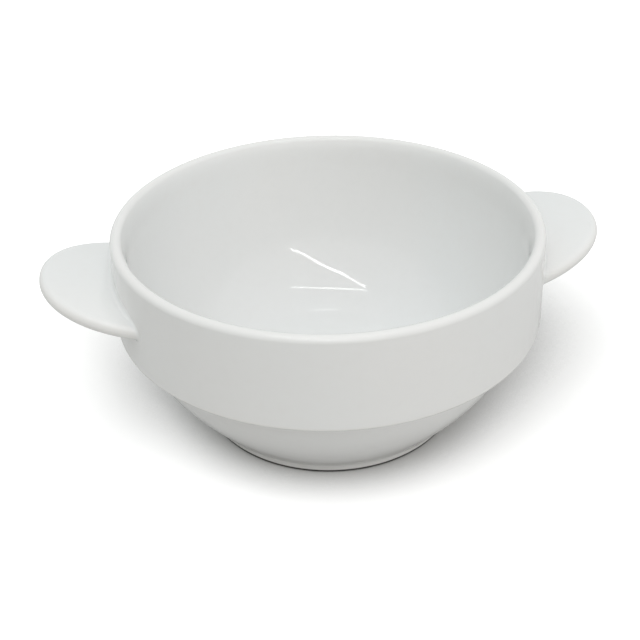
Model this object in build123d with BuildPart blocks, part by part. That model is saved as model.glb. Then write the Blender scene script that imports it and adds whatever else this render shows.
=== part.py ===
import os
from math import cos, radians, sin
from build123d import *

# Bowl body, sizes in millimetres and angles in degrees
rim_radius = 60.0  # outside of the lip
bowl_height = 60.0  # table to the top of the lip
lip_width = 3.3  # rounded lip
lip_inner_turn = 20.0  # the round of the lip ends this much early on the inside and runs out softly
lip_inner_pull = 3.0  # length over which it leaves the round in a straight line
band_height = 26.9  # upper band, from the top of the lip down to the stacking ledge
band_draft = 0.9  # the band is this much wider at its lower edge than at the lip
band_edge_radius = 1.2  # rounded lower edge of the band
stacking_clearance = 0.9  # between the cup of one bowl and the mouth of the bowl below it
ledge_corner_radius = 0.8  # hollow corner between ledge and cup
cup_top_lean = 3.0  # lean of the cup under the ledge, from upright
cup_top_pull = 12.1  # length over which the cup leaves the ledge in a straight line
cup_base_pull = 10.7  # length over which the cup leaves the foot in a straight line
cup_base_angle = 50.6  # slope of the cup above the foot
foot_radius = 37.8  # outside of the foot ring at the table
foot_flare = 1.0  # the foot ring is this much wider where it joins the cup
foot_height = 3.0
foot_land = 4.4  # width of the ring that stands on the table
foot_recess = 2.6  # depth of the hollow inside the foot ring
foot_blend_radius = 6.0  # hollow corner between foot ring and cup
foot_edge_radius = 2.0  # the foot ring turns under towards the table
foot_inner_edge_radius = 0.8
recess_corner_radius = 1.2

# Inside of the bowl
inner_straight = 10.0  # top of the lip down to where the inside starts to draw in
inner_taper = 0.75  # the inside narrows by this much over the upper part
inner_lean = 3.2  # lean of the inside where it starts to draw in, from upright
inner_top_pull = 3.5  # length over which it keeps this lean above that height
inner_side_pull = 26.6  # length over which the side curves away from the upper part
floor_thickness = 4.3  # above the foot recess
floor_radius = 23.9  # flat part of the floor
floor_pull = 19.6  # length over which the floor curves up into the side

# Lugs, one on each side of the bowl
lug_reach = 79.4  # bowl axis to the tip of a lug
lug_half_width = 24.5
lug_widest = 52.5  # distance from the bowl axis at which a lug is widest
lug_fullness = 0.595  # roundness of the outline, 0.55 is an ellipse
lug_drop = 13.4  # top of the lip down to the middle of the lug where it leaves the wall
lug_tilt = 15.9  # rise of the lug, outwards
lug_thickness = 4.6
lug_edge_radius = 1.95
lug_root_depth = 9.0  # length of the blank inside the wall, trimmed off

# Luting slip between a lug and the wall
slip_film = 0.4
slip_fillet_radius = 1.2
slip_bite = 0.12  # the sponged fillet meets wall and lug at a shallow angle, not tangent to them

# Worked out from the sizes above
lip_radius = lip_width / 2
lip_centre = bowl_height - lip_radius
ledge = bowl_height - band_height
band_low_radius = rim_radius + band_draft
mouth_radius = rim_radius - lip_width
cup_top_radius = mouth_radius - stacking_clearance
foot_top_radius = foot_radius + foot_flare
foot_inner_radius = foot_radius - foot_land
floor = foot_recess + floor_thickness
inner_top = bowl_height - inner_straight
inner_top_radius = mouth_radius - inner_taper
seat_height = lip_centre - ledge
lug_height = bowl_height - lug_drop
lug_plane = Plane(
    origin=(rim_radius, 0, lug_height),
    x_dir=(cos(radians(lug_tilt)), 0, sin(radians(lug_tilt))),
    z_dir=(-sin(radians(lug_tilt)), 0, cos(radians(lug_tilt))),
)


def away(point, angle, length):
    """Point reached from a profile point by going a length at an angle from level."""
    return (point[0] + length * cos(radians(angle)), point[1] + length * sin(radians(angle)))


def ring_edge(builder, radius, height):
    """Circular edge of a turned part that lies nearest to a radius and a height."""
    rings = builder.edges().filter_by(GeomType.CIRCLE)
    return rings.sort_by(lambda edge: abs(edge.radius - radius) + abs(edge.arc_center.Z - height))[0]


def wall_plug(allowance, mode=Mode.ADD):
    """Solid that fills the upper band, out to its outside face plus an allowance."""
    with Locations((0, 0, ledge)):
        Cone(
            band_low_radius + allowance,
            rim_radius + allowance,
            seat_height,
            align=(Align.CENTER, Align.CENTER, Align.MIN),
            mode=mode,
        )


def lug_blank(inset):
    """Lug before its root is trimmed to the wall, drawn in by an inset all round."""
    stretch = 1 / cos(radians(lug_tilt))
    tip = (lug_reach - rim_radius) * stretch - inset
    widest = (lug_widest - rim_radius) * stretch
    half_width = lug_half_width - inset
    root = widest - lug_root_depth
    with BuildPart() as blank:
        with BuildSketch(lug_plane):
            with BuildLine():
                Bezier(
                    (tip, 0),
                    (tip, half_width * lug_fullness),
                    (widest + (tip - widest) * lug_fullness, half_width),
                    (widest, half_width),
                )
                Line((widest, half_width), (root, half_width))
                Line((root, half_width), (root, 0))
                mirror(about=Plane.XZ)
            make_face()
        extrude(amount=lug_thickness / 2 - inset, both=True)
        rims = blank.faces().filter_by(lug_plane).edges()
        fillet(rims, lug_edge_radius - inset)
    return blank.part


# Body: one turned section, from the foot up the outside and down the inside
cup_base_point = (foot_top_radius, foot_height)
cup_top_point = (cup_top_radius, ledge)
lip_point = (rim_radius - lip_radius, lip_centre)
lip_inner_point = away(lip_point, 180 - lip_inner_turn, lip_radius)
inner_top_point = (inner_top_radius, inner_top)
floor_edge = (floor_radius, floor)

with BuildPart() as bowl_body:
    with BuildSketch(Plane.XZ):
        with BuildLine():
            Polyline(
                (0, foot_recess),
                (foot_inner_radius, foot_recess),
                (foot_inner_radius, 0),
                (foot_radius, 0),
                cup_base_point,
            )
            Bezier(
                cup_base_point,
                away(cup_base_point, cup_base_angle, cup_base_pull),
                away(cup_top_point, 270 - cup_top_lean, cup_top_pull),
                cup_top_point,
            )
            Polyline(cup_top_point, (band_low_radius, ledge), (rim_radius, lip_centre))
            CenterArc(lip_point, lip_radius, 0, 90)
            CenterArc(lip_point, lip_radius, 90, 90 - lip_inner_turn)
            Bezier(
                lip_inner_point,
                away(lip_inner_point, 270 - lip_inner_turn, lip_inner_pull),
                away(inner_top_point, 90 - inner_lean, inner_top_pull),
                inner_top_point,
            )
            Bezier(
                inner_top_point,
                away(inner_top_point, 270 - inner_lean, inner_side_pull),
                away(floor_edge, 0, floor_pull),
                floor_edge,
            )
            Polyline(floor_edge, (0, floor), (0, foot_recess))
        make_face()
    revolve(axis=Axis.Z)
    fillet(ring_edge(bowl_body, band_low_radius, ledge), band_edge_radius)
    fillet(ring_edge(bowl_body, cup_top_radius, ledge), ledge_corner_radius)
    fillet(ring_edge(bowl_body, foot_top_radius, foot_height), foot_blend_radius)
    fillet(ring_edge(bowl_body, foot_radius, 0), foot_edge_radius)
    fillet(ring_edge(bowl_body, foot_inner_radius, 0), foot_inner_edge_radius)
    fillet(ring_edge(bowl_body, foot_inner_radius, foot_recess), recess_corner_radius)

# Lugs: a rounded tab with its root cut to the wall, less the slip film
lug_form = lug_blank(0)
with BuildPart() as right_lug:
    add(lug_form)
    wall_plug(slip_film, Mode.SUBTRACT)

with BuildPart() as left_lug:
    mirror(right_lug.part, about=Plane.YZ)

# Slip: the film behind the root and the fillet round it, left when wall and lug are taken away
slip_core = lug_blank(slip_bite)
with BuildPart() as right_lug_slip:
    wall_plug(-slip_bite)
    add(slip_core)
    fillet(right_lug_slip.edges(Select.NEW), slip_fillet_radius)
    wall_plug(0, Mode.SUBTRACT)
    add(right_lug.part, mode=Mode.SUBTRACT)

with BuildPart() as left_lug_slip:
    mirror(right_lug_slip.part, about=Plane.YZ)

bowl_body.part.label = "bowl_body"
left_lug.part.label = "left_lug"
right_lug.part.label = "right_lug"
left_lug_slip.part.label = "left_lug_slip"
right_lug_slip.part.label = "right_lug_slip"

os.makedirs("parts", exist_ok=True)
export_step(bowl_body.part, "parts/bowl_body.step")
export_step(left_lug.part, "parts/left_lug.step")
export_step(right_lug.part, "parts/right_lug.step")
export_step(left_lug_slip.part, "parts/left_lug_slip.step")
export_step(right_lug_slip.part, "parts/right_lug_slip.step")
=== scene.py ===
import bmesh
import bpy
from math import cos, hypot, pi, radians, sin
from mathutils import Matrix, Vector


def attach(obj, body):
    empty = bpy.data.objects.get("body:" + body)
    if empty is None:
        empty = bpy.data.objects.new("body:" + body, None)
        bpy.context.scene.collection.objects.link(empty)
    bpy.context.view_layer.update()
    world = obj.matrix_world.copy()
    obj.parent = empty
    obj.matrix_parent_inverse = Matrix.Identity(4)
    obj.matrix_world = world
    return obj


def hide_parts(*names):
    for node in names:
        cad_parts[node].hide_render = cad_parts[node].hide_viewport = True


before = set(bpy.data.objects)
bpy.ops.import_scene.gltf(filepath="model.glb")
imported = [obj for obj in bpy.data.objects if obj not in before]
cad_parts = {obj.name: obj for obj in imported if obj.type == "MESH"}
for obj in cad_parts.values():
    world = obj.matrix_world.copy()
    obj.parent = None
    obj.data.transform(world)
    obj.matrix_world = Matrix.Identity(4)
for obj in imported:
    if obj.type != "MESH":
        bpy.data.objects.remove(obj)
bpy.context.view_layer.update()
scene = bpy.context.scene
scene.view_settings.view_transform = "Standard"


# links a socket into an input, or sets the input to a plain value
def feed(tree, socket, value):
    if isinstance(value, bpy.types.NodeSocket):
        tree.links.new(value, socket)
    else:
        socket.default_value = value


# adds a shader node with its inputs fed and its settings made
def addNode(tree, kind, inputs=None, **settings):
    made = tree.nodes.new("ShaderNode" + kind)
    for name, value in settings.items():
        setattr(made, name, value)
    for name, value in (inputs or {}).items():
        feed(tree, made.inputs[name], value)
    return made


def firstOutput(made):
    return next(socket for socket in made.outputs if socket.enabled)


def calc(tree, operation, *values):
    return firstOutput(addNode(tree, "Math", dict(enumerate(values)), operation=operation))


def vectorCalc(tree, operation, *values):
    return firstOutput(addNode(tree, "VectorMath", dict(enumerate(values)), operation=operation))


# mixes two colours or two values
def blend(tree, factor, first, second):
    kind = "RGBA" if isinstance(second, tuple) or getattr(second, "type", "") == "RGBA" else "FLOAT"
    first = (*first, 1) if isinstance(first, tuple) else first
    second = (*second, 1) if isinstance(second, tuple) else second
    made = addNode(tree, "Mix", data_type=kind)
    sockets = [socket for socket in made.inputs if socket.enabled]
    for socket, value in zip(sockets, (factor, first, second)):
        feed(tree, socket, value)
    return firstOutput(made)


# eases from low to high while a value goes from start to end
def fade(tree, value, start, end, low=0.0, high=1.0):
    inputs = {"Value": value, "From Min": start, "From Max": end, "To Min": low, "To Max": high}
    return addNode(tree, "MapRange", inputs, interpolation_type="SMOOTHSTEP").outputs["Result"]


def noise(tree, place, scale, detail=2.0):
    inputs = {"Vector": place, "Scale": scale, "Detail": detail, "Roughness": 0.5}
    return addNode(tree, "TexNoise", inputs).outputs["Fac"]


def objectPlace(tree):
    return addNode(tree, "TexCoord").outputs["Object"]


# the photograph's camera
camera = dict(
    target=(0, 0, 0.030),
    distance=0.290,
    azimuth=-12.4,
    elevation=32.565,
    roll=-1.014,
    lens=55.35,
    sensor=36.0,
    shift=(-0.01423, -0.01813),
    clipStart=0.01,
)


def addCamera():
    turn, rise, roll = (radians(camera[k]) for k in ("azimuth", "elevation", "roll"))
    back = Vector((sin(turn) * cos(rise), -cos(turn) * cos(rise), sin(rise)))
    level = Vector((cos(turn), sin(turn), 0))
    upright = back.cross(level)
    right = level * cos(roll) + upright * sin(roll)
    up = upright * cos(roll) - level * sin(roll)
    place = Vector(camera["target"]) + back * camera["distance"]
    data = bpy.data.cameras.new("photoCamera")
    data.lens = camera["lens"]
    data.sensor_width = camera["sensor"]
    data.shift_x, data.shift_y = camera["shift"]
    data.clip_start = camera["clipStart"]
    obj = bpy.data.objects.new("photoCamera", data)
    scene.collection.objects.link(obj)
    obj.matrix_world = Matrix.Translation(place) @ Matrix((right, up, back)).transposed().to_4x4()
    scene.camera = obj
    print("camera set")


# the bowl is turned from one outline; sizes as the solid has them, in metres and degrees
bowl = dict(
    rimRadius=0.0600,
    height=0.0600,
    lipWidth=0.0033,
    lipInnerTurn=20.0,  # the round of the lip ends this much early on the inside
    lipInnerPull=0.0030,  # a pull is the length over which a curve keeps its direction
    bandHeight=0.0269,
    bandDraft=0.0009,  # wider at the ledge than at the lip
    stackingClearance=0.0009,
    cupTopLean=3.0,
    cupTopPull=0.0121,
    cupBaseAngle=50.6,
    cupBasePull=0.0107,
    footRadius=0.0378,
    footFlare=0.0010,
    footHeight=0.0030,
    footLand=0.0044,
    footRecess=0.0026,
    innerStraight=0.0100,  # lip down to where the inside starts to draw in
    innerTaper=0.00075,
    innerLean=3.2,
    innerTopPull=0.0035,
    innerSidePull=0.0266,
    floorThickness=0.0043,
    floorRadius=0.0239,
    floorPull=0.0196,
    bandEdge=0.0012,  # widths of the bevels at the outline's corners
    ledgeCorner=0.0008,
    footBlend=0.001042,
    footEdge=0.001453,
    footInnerEdge=0.0008,
    recessCorner=0.0012,
    bevelSteps=6,  # counts of steps along the outline and round the bowl
    recessSteps=6,
    cupSteps=20,
    bandSteps=10,
    lipSteps=32,
    mouthSteps=24,
    sideSteps=40,
    floorSteps=6,
    segments=288,
)
lipRadius = bowl["lipWidth"] / 2
lipCentre = bowl["height"] - lipRadius
ledge = bowl["height"] - bowl["bandHeight"]
bandRadius = bowl["rimRadius"] + bowl["bandDraft"]
mouthRadius = bowl["rimRadius"] - bowl["lipWidth"]
cupRadius = mouthRadius - bowl["stackingClearance"]
footTop = bowl["footRadius"] + bowl["footFlare"]
footInner = bowl["footRadius"] - bowl["footLand"]
bowlFloor = bowl["footRecess"] + bowl["floorThickness"]
snap = 1e-6  # points closer than this are one
sharpTurn = 40.0  # an edge that turns by more than this stays crisp


def away(point, angle, length):
    return Vector((point[0] + length * cos(radians(angle)), point[1] + length * sin(radians(angle))))


def run(start, end, count):
    start, end = Vector(start), Vector(end)
    return [start.lerp(end, k / count) for k in range(1, count + 1)]


# curve from a to d that leaves towards b and arrives from c
def sweep(a, b, c, d, count):
    a, b, c, d = (Vector(p) for p in (a, b, c, d))
    line = []
    for t in (k / count for k in range(1, count + 1)):
        line.append(a * (1 - t) ** 3 + b * 3 * t * (1 - t) ** 2 + c * 3 * t * t * (1 - t) + d * t**3)
    return line


def roundOver(centre, radius, first, last, count):
    return [away(centre, first + (last - first) * k / count, radius) for k in range(1, count + 1)]


# outline from the middle of the foot recess, up the outside and down into the bowl
def bowlOutline():
    b = bowl
    cupBase = (footTop, b["footHeight"])
    cupTop = (cupRadius, ledge)
    lipMiddle = (b["rimRadius"] - lipRadius, lipCentre)
    innerTop = (mouthRadius - b["innerTaper"], b["height"] - b["innerStraight"])
    floorEdge = (b["floorRadius"], bowlFloor)
    line = [Vector((0, b["footRecess"]))]
    line += run(line[-1], (footInner, b["footRecess"]), b["recessSteps"])
    line += [Vector((footInner, 0)), Vector((b["footRadius"], 0)), Vector(cupBase)]
    cupBasePull = away(cupBase, b["cupBaseAngle"], b["cupBasePull"])
    cupTopPull = away(cupTop, 270 - b["cupTopLean"], b["cupTopPull"])
    line += sweep(cupBase, cupBasePull, cupTopPull, cupTop, b["cupSteps"])
    line += [Vector((bandRadius, ledge))]
    line += run(line[-1], (b["rimRadius"], lipCentre), b["bandSteps"])
    line += roundOver(lipMiddle, lipRadius, 0, 180 - b["lipInnerTurn"], b["lipSteps"])
    lipPull = away(line[-1], 270 - b["lipInnerTurn"], b["lipInnerPull"])
    innerTopPull = away(innerTop, 90 - b["innerLean"], b["innerTopPull"])
    line += sweep(line[-1], lipPull, innerTopPull, innerTop, b["mouthSteps"])
    sidePull = away(innerTop, 270 - b["innerLean"], b["innerSidePull"])
    floorPull = away(floorEdge, 0, b["floorPull"])
    line += sweep(innerTop, sidePull, floorPull, floorEdge, b["sideSteps"])
    line += run(line[-1], (0, bowlFloor), b["floorSteps"])
    return line


# a small plane merged to its middle leaves one vertex to draw from
def startPiece(name):
    bpy.ops.object.select_all(action="DESELECT")
    bpy.ops.mesh.primitive_plane_add(size=0.001)
    piece = bpy.context.object
    piece.name = piece.data.name = name
    bpy.ops.object.mode_set(mode="EDIT")
    bpy.ops.mesh.select_mode(type="VERT")
    bpy.ops.mesh.select_all(action="SELECT")
    bpy.ops.mesh.merge(type="CENTER")
    return piece


# draws a chain of edges from the one vertex that startPiece leaves
def drawLine(points):
    here = Vector((0, 0, 0))
    for number, point in enumerate(points):
        if number:
            bpy.ops.mesh.extrude_vertices_move(TRANSFORM_OT_translate={"value": point - here})
        else:
            bpy.ops.transform.translate(value=point)
        here = point


# selects what a test on a vertex's place picks, in the piece being edited
def pick(piece, test):
    bpy.ops.mesh.select_mode(type="VERT")
    bpy.ops.mesh.select_all(action="DESELECT")
    mesh = bmesh.from_edit_mesh(piece.data)
    for vert in mesh.verts:
        vert.select = test(vert.co)
    mesh.select_flush_mode()
    bmesh.update_edit_mesh(piece.data)


def roundRing(piece, radius, height, width):
    pick(piece, lambda co: hypot(hypot(co.x, co.y) - radius, co.z - height) < snap)
    bpy.ops.mesh.bevel(offset=width, segments=bowl["bevelSteps"], affect="EDGES", clamp_overlap=True)


def finishPiece(piece, body, node, material):
    bpy.ops.object.mode_set(mode="EDIT")
    bpy.ops.mesh.select_mode(type="EDGE")
    bpy.ops.mesh.select_all(action="DESELECT")
    bpy.ops.mesh.edges_select_sharp(sharpness=radians(sharpTurn))
    bpy.ops.mesh.mark_sharp()
    bpy.ops.object.mode_set(mode="OBJECT")
    bpy.ops.object.shade_smooth()
    piece.modifiers.new("evenShade", "WEIGHTED_NORMAL").keep_sharp = True
    bpy.ops.object.modifier_apply(modifier="evenShade")
    piece.data.materials.append(material)
    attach(piece, body)
    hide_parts(node)


def turnBowl(material):
    piece = startPiece("bowlBody")
    drawLine([Vector((p[0], 0, p[1])) for p in bowlOutline()])
    bpy.ops.mesh.select_all(action="SELECT")
    bpy.ops.mesh.spin(steps=bowl["segments"], angle=2 * pi, center=(0, 0, 0), axis=(0, 0, 1))
    bpy.ops.mesh.select_all(action="SELECT")
    bpy.ops.mesh.remove_doubles(threshold=snap)
    bpy.ops.mesh.normals_make_consistent(inside=False)
    roundRing(piece, bandRadius, ledge, bowl["bandEdge"])
    roundRing(piece, cupRadius, ledge, bowl["ledgeCorner"])
    roundRing(piece, footTop, bowl["footHeight"], bowl["footBlend"])
    roundRing(piece, bowl["footRadius"], 0, bowl["footEdge"])
    roundRing(piece, footInner, 0, bowl["footInnerEdge"])
    roundRing(piece, footInner, bowl["footRecess"], bowl["recessCorner"])
    finishPiece(piece, "root", "bowl_body", material)
    print("bowl turned:", len(piece.data.polygons), "faces")


# ear lug: a soft-edged tab, drawn flat, tilted up and cut to the wall
lug = dict(
    reach=0.0794,  # bowl's axis to the tip
    halfWidth=0.0245,
    widest=0.0525,  # distance from the bowl's axis at which it is widest
    fullness=0.595,  # roundness of the outline
    drop=0.0134,  # from the top of the lip, where the lug leaves the wall
    tilt=15.9,
    thickness=0.0049,
    edgeRadius=0.0019,
    crown=(  # steps in and up from the rounded edge
        (0.0010, 0.00015),
        (0.0014, 0.00014),
        (0.0020, 0.00011),
        (0.0028, 0.00007),
    ),
    rootDepth=0.009,  # length inside the wall, cut off
    film=0.0004,  # room for slip behind the root
    outlineSteps=36,
    edgeSteps=7,
    plugSides=512,
    cutSnap=1e-7,
)
tilt = radians(lug["tilt"])
lugHeight = bowl["height"] - lug["drop"]
lugTip = (lug["reach"] - bowl["rimRadius"]) / cos(tilt)
lugWidest = (lug["widest"] - bowl["rimRadius"]) / cos(tilt)


def lugOutline():
    half, full = lug["halfWidth"], lug["fullness"]
    tip = (lugTip, 0)
    tipPull = (lugTip, half * full)
    shoulder = (lugWidest + (lugTip - lugWidest) * full, half)
    return [Vector(tip)] + sweep(tip, tipPull, shoulder, (lugWidest, half), lug["outlineSteps"])


# fills the upper band out to its outside face plus an allowance
def wallPlug(allowance):
    bpy.ops.object.select_all(action="DESELECT")
    bpy.ops.mesh.primitive_cone_add(
        vertices=lug["plugSides"],
        radius1=bandRadius + allowance,
        radius2=bowl["rimRadius"] + allowance,
        depth=lipCentre - ledge,
        location=(0, 0, (lipCentre + ledge) / 2),
    )
    plug = bpy.context.object
    bpy.ops.object.transform_apply(location=True)
    return plug


# half thickness of the lug at a distance inside its rounded edge
def lugHalfThickness(flatInset):
    height = lug["thickness"] / 2 - sum(rise for _, rise in lug["crown"])
    left = flatInset
    for reach, rise in lug["crown"]:
        height += rise * min(max(left / reach, 0), 1)
        left -= reach
    return height


# raises the selected flat face to its height, rounding its edge and crowning it
def softenFace(side):
    radius = lug["edgeRadius"]
    straight = lugHalfThickness(0) - radius
    bpy.ops.mesh.extrude_region_move(TRANSFORM_OT_translate={"value": (0, 0, side * straight)})
    turns = [k * pi / 2 / lug["edgeSteps"] for k in range(lug["edgeSteps"] + 1)]
    for last, turn in zip(turns, turns[1:]):
        inward = radius * (cos(last) - cos(turn))
        upward = radius * (sin(turn) - sin(last))
        bpy.ops.mesh.inset(thickness=inward, depth=upward, use_even_offset=True)
    for reach, rise in lug["crown"]:
        bpy.ops.mesh.inset(thickness=reach, depth=rise, use_even_offset=True)


def makeLug(name, side):
    plug = wallPlug(lug["film"])
    piece = startPiece(name)
    root = lugWidest - lug["rootDepth"]
    outline = [p.to_3d() for p in lugOutline()]
    drawLine(outline + [Vector((root, lug["halfWidth"], 0)), Vector((root, 0, 0))])
    bpy.ops.mesh.select_all(action="SELECT")
    bpy.ops.mesh.symmetrize(direction="POSITIVE_Y", threshold=snap)
    bpy.ops.mesh.select_all(action="SELECT")
    bpy.ops.mesh.edge_face_add()
    face = next(iter(bmesh.from_edit_mesh(piece.data).faces))
    if face.normal.z < 0:
        bpy.ops.mesh.flip_normals()
    softenFace(1)
    bpy.ops.mesh.select_all(action="SELECT")
    bpy.ops.mesh.normals_make_consistent(inside=False)
    pick(piece, lambda co: abs(co.z) < snap)
    softenFace(-1)
    bpy.ops.object.mode_set(mode="OBJECT")
    piece.rotation_euler = (0, -tilt, 0)
    piece.location = (bowl["rimRadius"], 0, lugHeight)
    bpy.ops.object.transform_apply()
    cut = piece.modifiers.new("cutRoot", "BOOLEAN")
    cut.operation = "DIFFERENCE"
    cut.object = plug
    cut.solver = "EXACT"
    bpy.ops.object.modifier_apply(modifier="cutRoot")
    bpy.data.objects.remove(plug)
    if side < 0:
        piece.scale = (-1, 1, 1)
        bpy.ops.object.transform_apply()
    bpy.ops.object.mode_set(mode="EDIT")
    bpy.ops.mesh.select_all(action="SELECT")
    bpy.ops.mesh.remove_doubles(threshold=lug["cutSnap"])
    bpy.ops.mesh.normals_make_consistent(inside=False)
    return piece


# luting slip: a sponged bead in the corner all round the root, and the film behind it
slip = dict(
    upperBead=0.0015,
    lowerBead=0.0011,
    sideBead=0.0005,
    sideReach=0.004,  # the bead thins towards the lug's sides over this length
    uneven=0.00004,  # how much the sponge leaves the bead thicker or thinner
    longWaves=3,  # counts of its waves round the lug
    shortWaves=7,
    shortShare=0.6,
    sunk=0.00005,  # into the wall and the lug
    acrossFlat=30,
    roundEdge=6,
    beadSteps=8,
    searchReach=0.012,  # the wall is looked for this far in and out, by halving
    halvings=34,
)


# half width of the lug at a distance from the wall
def lugHalfWidth(u, line):
    if u <= line[-1].x:
        return lug["halfWidth"]
    for outer, inner in zip(line, line[1:]):
        if inner.x <= u <= outer.x:
            return inner.y + (outer.y - inner.y) * (u - inner.x) / (outer.x - inner.x)
    return 0.0


def wallRadius(z):
    return bowl["rimRadius"] + bowl["bandDraft"] * (lipCentre - z) / (lipCentre - ledge)


# places round the lug's section: share of the way across the flat, or turn round the edge
def sectionStations():
    flat, edge = slip["acrossFlat"], slip["roundEdge"]
    top = [("edge", -1, k * pi / 2 / edge) for k in range(edge)]
    top += [("flat", -1 + 2 * k / flat, 0) for k in range(flat + 1)]
    top += [("edge", 1, k * pi / 2 / edge) for k in range(edge - 1, -1, -1)]
    return [(*place, 1) for place in top] + [(*place, -1) for place in reversed(top[1:-1])]


def sectionPoint(station, half, grow):
    kind, across, turn, side = station
    radius = lug["edgeRadius"]
    if kind == "flat":
        v = across * (half - radius)
        return v, side * (lugHalfThickness(half - radius - abs(v)) + grow)
    straight = lugHalfThickness(0) - radius
    v = across * (half - radius + (radius + grow) * cos(turn))
    return v, side * (straight + (radius + grow) * sin(turn))


# the point where the lug's surface, grown outwards, meets the wall, grown outwards
def slipPoint(line, station, lugGrow, wallGrow):
    low, high = -slip["searchReach"], slip["searchReach"]
    for _ in range(slip["halvings"]):
        u = (low + high) / 2
        v, w = sectionPoint(station, lugHalfWidth(u, line), lugGrow)
        x = bowl["rimRadius"] + u * cos(tilt) - w * sin(tilt)
        z = lugHeight + u * sin(tilt) + w * cos(tilt)
        if hypot(x, v) > wallRadius(z) + wallGrow:
            high = u
        else:
            low = u
    return Vector((x, v, z))


def beadSize(station):
    kind, across, _, side = station
    full = slip["upperBead"] if side > 0 else slip["lowerBead"]
    inside = (1 - abs(across)) * (lug["halfWidth"] - lug["edgeRadius"]) if kind == "flat" else 0
    share = min(inside / slip["sideReach"], 1)
    return slip["sideBead"] + (full - slip["sideBead"]) * share * share * (3 - 2 * share)


# how the sponge has left the bead, at an angle round the lug
def sponged(around, side):
    long = sin(slip["longWaves"] * around + 1)
    short = sin(slip["shortWaves"] * around + side)
    return slip["uneven"] * (long + short * slip["shortShare"])


def makeSlip(name, side):
    line, stations = lugOutline(), sectionStations()
    count, steps = len(stations), slip["beadSteps"]
    mesh = bmesh.new()
    loops = []
    for step in range(steps + 1):
        turn = pi / 2 * step / steps
        loop = []
        for number, station in enumerate(stations):
            bead = beadSize(station) + sponged(2 * pi * number / count, side)
            lugGrow = bead * (1 - sin(turn)) - (slip["sunk"] if step == steps else 0)
            wallGrow = bead * (1 - cos(turn)) - (slip["sunk"] if step == 0 else 0)
            loop.append(mesh.verts.new(slipPoint(line, station, lugGrow, wallGrow)))
        loops.append(loop)
    film = [slipPoint(line, station, -slip["sunk"], lug["film"]) for station in stations]
    loops.append([mesh.verts.new(point) for point in film])
    for first, second in zip(loops, loops[1:]):
        for k in range(count):
            n = (k + 1) % count
            mesh.faces.new((first[k], first[n], second[n], second[k]))
    # both ends are closed by strips across, with a triangle at each side
    for loop in (loops[0], loops[-1]):
        for k in range(count // 2):
            corners = (loop[k], loop[k + 1], loop[-k - 1], loop[-k])
            mesh.faces.new(list(dict.fromkeys(corners)))
    if side < 0:
        bmesh.ops.scale(mesh, vec=(-1, 1, 1), verts=mesh.verts)
    bmesh.ops.recalc_face_normals(mesh, faces=mesh.faces)
    data = bpy.data.meshes.new(name)
    mesh.to_mesh(data)
    mesh.free()
    piece = bpy.data.objects.new(name, data)
    scene.collection.objects.link(piece)
    bpy.ops.object.select_all(action="DESELECT")
    bpy.context.view_layer.objects.active = piece
    piece.select_set(True)
    return piece


# 1 for rays that see the white background straight on, a share of it for mirrored ones
def backdropRays(tree, share=1.0):
    seen = addNode(tree, "LightPath").outputs
    mirrored = calc(tree, "MAXIMUM", seen["Is Glossy Ray"], seen["Is Transmission Ray"])
    return calc(tree, "MAXIMUM", seen["Is Camera Ray"], calc(tree, "MULTIPLY", mirrored, share))


# soft studio light: patches of sky round the bowl, narrower with a larger focus
# turn is 0 at the back, 90 at the right and 180 behind the camera, rise is above level
sky = dict(
    highBack=dict(turn=0, rise=48, strength=(0.14, 0.15, 0.14), focus=4),
    highFrontLeft=dict(turn=240, rise=48, strength=(0.55, 0.60, 0.62), focus=4),
    highBackLeft=dict(turn=300, rise=48, strength=(0.44, 0.47, 0.47), focus=4),
    lowBack=dict(turn=0, rise=12, strength=(0.19, 0.19, 0.18), focus=4),
    lowFrontRight=dict(turn=120, rise=12, strength=(1.46, 1.46, 1.44), focus=4),
    lowFront=dict(turn=180, rise=12, strength=(0.23, 0.19, 0.15), focus=4),
    lowFrontLeft=dict(turn=240, rise=12, strength=(0.24, 0.20, 0.16), focus=4),
    topBack=dict(turn=20, rise=66, strength=(1.54, 1.52, 1.51), focus=16),
    topFront=dict(turn=160, rise=66, strength=(0.91, 0.93, 0.94), focus=16),
)


def lightSky():
    world = bpy.data.worlds.new("sky")
    scene.world = world
    world.use_nodes = True
    tree = world.node_tree
    tree.nodes.clear()
    place = addNode(tree, "TexCoord").outputs["Generated"]
    total = (0, 0, 0)
    for patch in sky.values():
        turn, rise = radians(patch["turn"] - camera["azimuth"]), radians(patch["rise"])
        aim = (sin(turn) * cos(rise), cos(turn) * cos(rise), sin(rise))
        facing = calc(tree, "MAXIMUM", vectorCalc(tree, "DOT_PRODUCT", place, aim), 0)
        soft = calc(tree, "POWER", facing, patch["focus"])
        total = vectorCalc(tree, "ADD", total, vectorCalc(tree, "MULTIPLY", patch["strength"], soft))
    light = addNode(tree, "Background", {"Color": total}).outputs[0]
    backdrop = addNode(tree, "Background", {"Color": (1, 1, 1, 1)}).outputs[0]
    shown = addNode(tree, "MixShader", {0: backdropRays(tree), 1: light, 2: backdrop}).outputs[0]
    addNode(tree, "OutputWorld", {"Surface": shown})
    print("sky lit:", len(sky), "patches")


# straight lamp tubes that the glaze mirrors, hung level over the bowl
tubes = dict(
    height=0.80,
    lamps=(  # both ends in plan, width, radiance
        ((0.42, -1.66), (0.11, -1.23), 0.040, 14.0),
        ((0.11, -1.23), (-0.245, -0.46), 0.036, 14.0),
        ((-0.245, -0.46), (-0.30, -0.13), 0.020, 14.0),
        ((-0.27, -0.075), (0.21, -0.27), 0.018, 11.0),
        ((0.045, 0.335), (0.120, 0.315), 0.014, 7.0),
    ),
)


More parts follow.
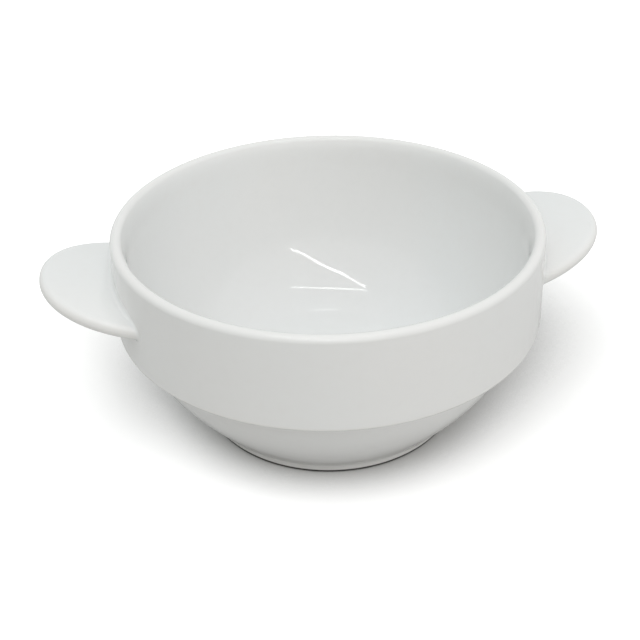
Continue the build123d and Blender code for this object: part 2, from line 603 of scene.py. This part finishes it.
def hangTubes():
    for number, (start, end, width, radiance) in enumerate(tubes["lamps"]):
        start = Vector((*start, tubes["height"]))
        end = Vector((*end, tubes["height"]))
        middle = (start + end) / 2
        along = (end - start).normalized()
        back = (middle - along * middle.dot(along)).normalized()
        data = bpy.data.lights.new(f"tube{number}", "AREA")
        data.shape = "RECTANGLE"
        data.size = (end - start).length
        data.size_y = width
        data.energy = radiance * pi * data.size * data.size_y
        lamp = bpy.data.objects.new(data.name, data)
        scene.collection.objects.link(lamp)
        turn = Matrix((along, back.cross(along), back)).transposed().to_4x4()
        lamp.matrix_world = Matrix.Translation(middle) @ turn
        lamp.visible_camera = False
    print("tubes hung:", len(tubes["lamps"]))


# pale paper: white where the camera sees it open, with painted shade under and behind the bowl
floor = dict(
    size=6.0,
    color=(0.55, 0.55, 0.545),
    roughness=0.9,
    lift=0.85,  # white added where the background is seen
    mirrored=0.40,  # share of the lift that the glaze mirrors
    aim=(-0.296, -0.814, 0.500),  # the light comes from the front, so the shade lies behind
    reach=0.085,
    shade=(3.15, 1.32),  # strength and power
    # painted contact shade: the paper's white fades close round the foot
    contactReach=0.018,
    contact=(2.32, 3.5),
    lineReach=0.0009,  # painted contact shadow: a thin dark line right under the foot
    lineShadowFade=(0.25, 0.60),
    lineShadowColor=(0.08, 0.08, 0.08),
)


def layFloor():
    bpy.ops.object.select_all(action="DESELECT")
    bpy.ops.mesh.primitive_plane_add(size=floor["size"])
    sheet = bpy.context.object
    sheet.name = "floor"
    paper = bpy.data.materials.new("palePaper")
    paper.use_nodes = True
    tree = paper.node_tree
    body = tree.nodes["Principled BSDF"]
    body.inputs["Roughness"].default_value = floor["roughness"]
    body.inputs["Specular IOR Level"].default_value = 0.0
    body.inputs["Emission Color"].default_value = (1, 1, 1, 1)
    aim = addNode(tree, "CombineXYZ", dict(enumerate(floor["aim"]))).outputs[0]
    around = addNode(tree, "AmbientOcclusion", {"Distance": floor["reach"], "Normal": aim}).outputs["AO"]
    close = addNode(tree, "AmbientOcclusion", {"Distance": floor["contactReach"]}).outputs["AO"]
    gap = addNode(tree, "AmbientOcclusion", {"Distance": floor["lineReach"]}).outputs["AO"]
    white = calc(tree, "MULTIPLY", backdropRays(tree, floor["mirrored"]), floor["lift"])
    # painted shade: ambient occlusion takes the added white out of the paper round, under and behind the
    # bowl
    for clear, (strength, power) in ((around, floor["shade"]), (close, floor["contact"])):
        hidden = calc(tree, "POWER", calc(tree, "SUBTRACT", 1, clear), power)
        left = calc(tree, "SUBTRACT", 1, calc(tree, "MULTIPLY", hidden, strength))
        white = calc(tree, "MULTIPLY", white, calc(tree, "MAXIMUM", left, 0))
    # painted contact shadow: a thin line at the foot where the paper's colour goes dark and its white
    # goes out
    line = fade(tree, gap, *floor["lineShadowFade"], 1, 0)
    white = calc(tree, "MULTIPLY", white, calc(tree, "SUBTRACT", 1, line))
    feed(tree, body.inputs["Base Color"], blend(tree, line, floor["color"], floor["lineShadowColor"]))
    feed(tree, body.inputs["Emission Strength"], white)
    sheet.data.materials.append(paper)
    print("floor laid")


def startGroup(name, inputs, outputs):
    tree = bpy.data.node_groups.new(name, "ShaderNodeTree")
    for label in inputs:
        tree.interface.new_socket(label, in_out="INPUT", socket_type="NodeSocketFloat")
    for label, kind in outputs:
        tree.interface.new_socket(label, in_out="OUTPUT", socket_type="NodeSocket" + kind)
    return tree, tree.nodes.new("NodeGroupInput").outputs, tree.nodes.new("NodeGroupOutput").inputs


def useGroup(tree, group, **inputs):
    named = {name.capitalize(): value for name, value in inputs.items()}
    return addNode(tree, "Group", named, node_tree=group).outputs


# 1 on a ring round the bowl's axis, fading out over a reach
def makeRingMask():
    tree, given, result = startGroup("ringMask", ("Radius", "Height", "Reach"), (("Mask", "Float"),))
    parts = addNode(tree, "SeparateXYZ", {0: objectPlace(tree)}).outputs
    flat = addNode(tree, "CombineXYZ", {0: parts[0], 1: parts[1]}).outputs[0]
    out = calc(tree, "SUBTRACT", vectorCalc(tree, "LENGTH", flat), given["Radius"])
    up = calc(tree, "SUBTRACT", parts[2], given["Height"])
    offset = addNode(tree, "CombineXYZ", {0: out, 1: up}).outputs[0]
    far = vectorCalc(tree, "LENGTH", offset)
    feed(tree, result["Mask"], fade(tree, far, 0, given["Reach"], 1, 0))
    return tree


# the clear glaze over white porcelain, all over the bowl, the lugs and the slip
glaze = dict(
    ior=1.5,
    cool=(0.852, 0.861, 0.859),  # the white drifts slowly between these two
    warm=(0.861, 0.861, 0.855),
    cloudScale=16,
    cloudFade=(0.32, 0.68),
    mottle=(0.846, 0.848, 0.842),
    mottleScale=420,
    mottleFade=(0.45, 0.80),
    mottleShare=0.6,
    thin=(0.872, 0.865, 0.851),  # on edges
    thinShare=0.75,
    thinRoughness=0.05,
    pool=(0.832, 0.846, 0.844),  # in corners
    poolShare=0.60,
    speck=(0.56, 0.52, 0.46),
    speckScale=120,
    speckSize=(0.010, 0.034),  # in widths of a cell, for pinholes too
    speckCells=0.025,  # share of the cells that have a speck
    speckShare=0.55,
    pinholeCells=0.05,
    pinholeDepth=0.000012,
    roughness=(0.045, 0.080),
    roughScale=45,
    roughFade=(0.30, 0.75),
    waveScale=110,  # slow unevenness
    waveHeight=0.0000085,
    peelScale=720,  # fine unevenness
    peelHeight=0.0000009,
)


def makeGlazeCoat():
    outputs = (("Color", "Color"), ("Roughness", "Float"), ("Height", "Float"))
    tree, given, result = startGroup("glazeCoat", ("Thin", "Pool"), outputs)
    g, place = glaze, objectPlace(tree)
    cloud = fade(tree, noise(tree, place, g["cloudScale"]), *g["cloudFade"])
    mottle = fade(tree, noise(tree, place, g["mottleScale"]), *g["mottleFade"], 0, g["mottleShare"])
    cells = addNode(tree, "TexVoronoi", {"Vector": place, "Scale": g["speckScale"]}).outputs
    chosen = addNode(tree, "SeparateColor", {0: cells["Color"]}).outputs
    dot = fade(tree, cells["Distance"], *g["speckSize"], 1, 0)
    speck = calc(tree, "MULTIPLY", dot, calc(tree, "GREATER_THAN", chosen[0], 1 - g["speckCells"]))
    pinhole = calc(tree, "MULTIPLY", dot, calc(tree, "LESS_THAN", chosen[1], g["pinholeCells"]))
    color = blend(tree, cloud, g["cool"], g["warm"])
    color = blend(tree, mottle, color, g["mottle"])
    color = blend(tree, calc(tree, "MULTIPLY", given["Thin"], g["thinShare"]), color, g["thin"])
    color = blend(tree, calc(tree, "MULTIPLY", given["Pool"], g["poolShare"]), color, g["pool"])
    color = blend(tree, calc(tree, "MULTIPLY", speck, g["speckShare"]), color, g["speck"])
    feed(tree, result["Color"], color)
    rough = noise(tree, place, g["roughScale"], detail=3)
    rough = fade(tree, rough, *g["roughFade"], *g["roughness"])
    rough = calc(tree, "MULTIPLY_ADD", given["Thin"], g["thinRoughness"], rough)
    feed(tree, result["Roughness"], rough)
    height = noise(tree, place, g["waveScale"], detail=1)
    height = calc(tree, "MULTIPLY", height, g["waveHeight"])
    height = calc(tree, "MULTIPLY_ADD", noise(tree, place, g["peelScale"]), g["peelHeight"], height)
    height = calc(tree, "MULTIPLY_ADD", pinhole, -g["pinholeDepth"], height)
    feed(tree, result["Height"], height)
    return tree


# grain of a dry clay surface: bare biscuit, or slip worked over with a sponge
dryClay = dict(
    detail=4,
    grainFade=(0.35, 0.70),
)


def makeClayGrain():
    outputs = (("Grain", "Float"), ("Height", "Float"))
    tree, given, result = startGroup("clayGrain", ("Scale", "Depth"), outputs)
    grain = noise(tree, objectPlace(tree), given["Scale"], dryClay["detail"])
    feed(tree, result["Grain"], fade(tree, grain, *dryClay["grainFade"]))
    feed(tree, result["Height"], calc(tree, "MULTIPLY", grain, given["Depth"]))
    return tree


def highest(tree, *values):
    top = values[0]
    for value in values[1:]:
        top = calc(tree, "MAXIMUM", top, value)
    return top


def startMaterial(name):
    material = bpy.data.materials.new(name)
    material.use_nodes = True
    body = material.node_tree.nodes["Principled BSDF"]
    body.inputs["IOR"].default_value = glaze["ior"]
    return material, material.node_tree, body


# the height is in metres, so the bump takes it as it is
def dress(tree, body, color, roughness, height):
    bump = addNode(tree, "Bump", {"Strength": 1.0, "Distance": 1.0, "Height": height})
    feed(tree, body.inputs["Base Color"], color)
    feed(tree, body.inputs["Roughness"], roughness)
    feed(tree, body.inputs["Normal"], bump.outputs["Normal"])


# bowl: thin glaze on its edges, pooled in its corners, faint rings left by the jigger tool
bowlGlaze = dict(
    lipThin=0.0028,  # reach of the thin glaze round an edge
    bandThin=0.0015,
    footThin=0.0009,
    edgeLift=0.0004,  # the thin rings on lip and band are centred this much above their edge
    footInset=0.0005,
    ledgePool=0.0020,  # reach of the pooled glaze in a corner
    recessPool=0.0026,
    floorPool=0.0160,
    floorShare=0.5,
    ringPitch=2400.0,  # waves of the tool's rings, in radians per metre of height
    ringHeight=0.00000045,
    ringWander=9.0,
    wanderScale=30,
)
# the ring that the bowl stands on, wiped bare of glaze
bare = dict(
    height=0.00025,  # the glaze is wiped off below this
    blur=0.00004,
    sunk=0.00006,
    color=(0.790, 0.770, 0.725),
    grain=(0.730, 0.705, 0.655),
    grainScale=1500.0,
    grainDepth=0.00006,
    roughness=0.62,
    grainRoughness=0.12,
    line=(0.770, 0.735, 0.680),  # where the glaze ends
    lineReach=(0.00002, 0.00016),
    lineShare=0.5,
)


def makeBowlPorcelain(ringMask, glazeCoat, clayGrain):
    material, tree, body = startMaterial("bowlPorcelain")

    def ring(radius, height, reach):
        return useGroup(tree, ringMask, radius=radius, height=height, reach=bowlGlaze[reach])["Mask"]

    place = objectPlace(tree)
    up = addNode(tree, "SeparateXYZ", {0: place}).outputs["Z"]
    thin = highest(
        tree,
        ring(bowl["rimRadius"] - lipRadius, bowl["height"] + bowlGlaze["edgeLift"], "lipThin"),
        ring(bandRadius, ledge + bowlGlaze["edgeLift"], "bandThin"),
        ring(bowl["footRadius"] - bowlGlaze["footInset"], bare["height"], "footThin"),
    )
    aroundFloor = ring(bowl["floorRadius"], bowlFloor, "floorPool")
    pool = highest(
        tree,
        ring(cupRadius, ledge, "ledgePool"),
        ring(footInner, bowl["footRecess"], "recessPool"),
        calc(tree, "MULTIPLY", aroundFloor, bowlGlaze["floorShare"]),
    )
    coat = useGroup(tree, glazeCoat, thin=thin, pool=pool)
    wander = noise(tree, place, bowlGlaze["wanderScale"], detail=1)
    wander = calc(tree, "MULTIPLY", wander, bowlGlaze["ringWander"])
    turned = calc(tree, "SINE", calc(tree, "MULTIPLY_ADD", up, bowlGlaze["ringPitch"], wander))
    height = calc(tree, "MULTIPLY_ADD", turned, bowlGlaze["ringHeight"], coat["Height"])
    clay = useGroup(tree, clayGrain, scale=bare["grainScale"], depth=bare["grainDepth"])
    dry = fade(tree, up, bare["height"] - bare["blur"], bare["height"] + bare["blur"], 1, 0)
    edge = calc(tree, "ABSOLUTE", calc(tree, "SUBTRACT", up, bare["height"]))
    line = fade(tree, edge, *bare["lineReach"], bare["lineShare"], 0)
    biscuit = blend(tree, clay["Grain"], bare["color"], bare["grain"])
    color = blend(tree, line, blend(tree, dry, coat["Color"], biscuit), bare["line"])
    dull = calc(tree, "MULTIPLY_ADD", clay["Grain"], bare["grainRoughness"], bare["roughness"])
    rough = blend(tree, dry, coat["Roughness"], dull)
    sunk = calc(tree, "SUBTRACT", clay["Height"], bare["sunk"])
    dress(tree, body, color, rough, blend(tree, dry, height, sunk))
    return material


# lugs: glaze thins round the soft edge and gathers towards the wall
lugGlaze = dict(
    thin=(0.0007, 0.0021),  # above and below the lug's middle plane
    pool=0.0035,
)


def makeLugPorcelain(ringMask, glazeCoat):
    material, tree, body = startMaterial("lugPorcelain")
    wall = bowl["rimRadius"]
    folded = vectorCalc(tree, "ABSOLUTE", objectPlace(tree))
    offset = vectorCalc(tree, "SUBTRACT", folded, (wall, 0, lugHeight))
    rise = vectorCalc(tree, "DOT_PRODUCT", offset, (-sin(tilt), 0, cos(tilt)))
    thin = fade(tree, calc(tree, "ABSOLUTE", rise), *lugGlaze["thin"], 1, 0)
    pool = useGroup(tree, ringMask, radius=wall, height=lugHeight, reach=lugGlaze["pool"])["Mask"]
    coat = useGroup(tree, glazeCoat, thin=thin, pool=pool)
    dress(tree, body, coat["Color"], coat["Roughness"], coat["Height"])
    return material


# slip bead: sponged by hand, with glaze gathered in the corner
slipGlaze = dict(
    poolOut=0.0006,  # out from the wall
    pool=0.0060,
    spongeScale=340.0,
    spongeDepth=0.00003,
    spongeThin=0.3,
)


def makeGlazedSlip(ringMask, glazeCoat, clayGrain):
    material, tree, body = startMaterial("glazedSlip")
    corner = bowl["rimRadius"] + slipGlaze["poolOut"]
    pool = useGroup(tree, ringMask, radius=corner, height=lugHeight, reach=slipGlaze["pool"])["Mask"]
    sponge = useGroup(tree, clayGrain, scale=slipGlaze["spongeScale"], depth=slipGlaze["spongeDepth"])
    thin = calc(tree, "MULTIPLY", sponge["Grain"], slipGlaze["spongeThin"])
    coat = useGroup(tree, glazeCoat, thin=thin, pool=pool)
    height = calc(tree, "ADD", coat["Height"], sponge["Height"])
    dress(tree, body, coat["Color"], coat["Roughness"], height)
    return material


addCamera()
ringMask, glazeCoat, clayGrain = makeRingMask(), makeGlazeCoat(), makeClayGrain()
bowlPorcelain = makeBowlPorcelain(ringMask, glazeCoat, clayGrain)
lugPorcelain = makeLugPorcelain(ringMask, glazeCoat)
glazedSlip = makeGlazedSlip(ringMask, glazeCoat, clayGrain)
print("finishes mixed")
turnBowl(bowlPorcelain)
for name, node, side in (("leftLug", "left_lug", -1), ("rightLug", "right_lug", 1)):
    piece = makeLug(name, side)
    finishPiece(piece, "root", node, lugPorcelain)
    print(name, "made:", len(piece.data.polygons), "faces")
for name, node, side in (("leftLugSlip", "left_lug_slip", -1), ("rightLugSlip", "right_lug_slip", 1)):
    piece = makeSlip(name, side)
    finishPiece(piece, "root", node, glazedSlip)
    print(name, "made:", len(piece.data.polygons), "faces")
lightSky()
hangTubes()
layFloor()
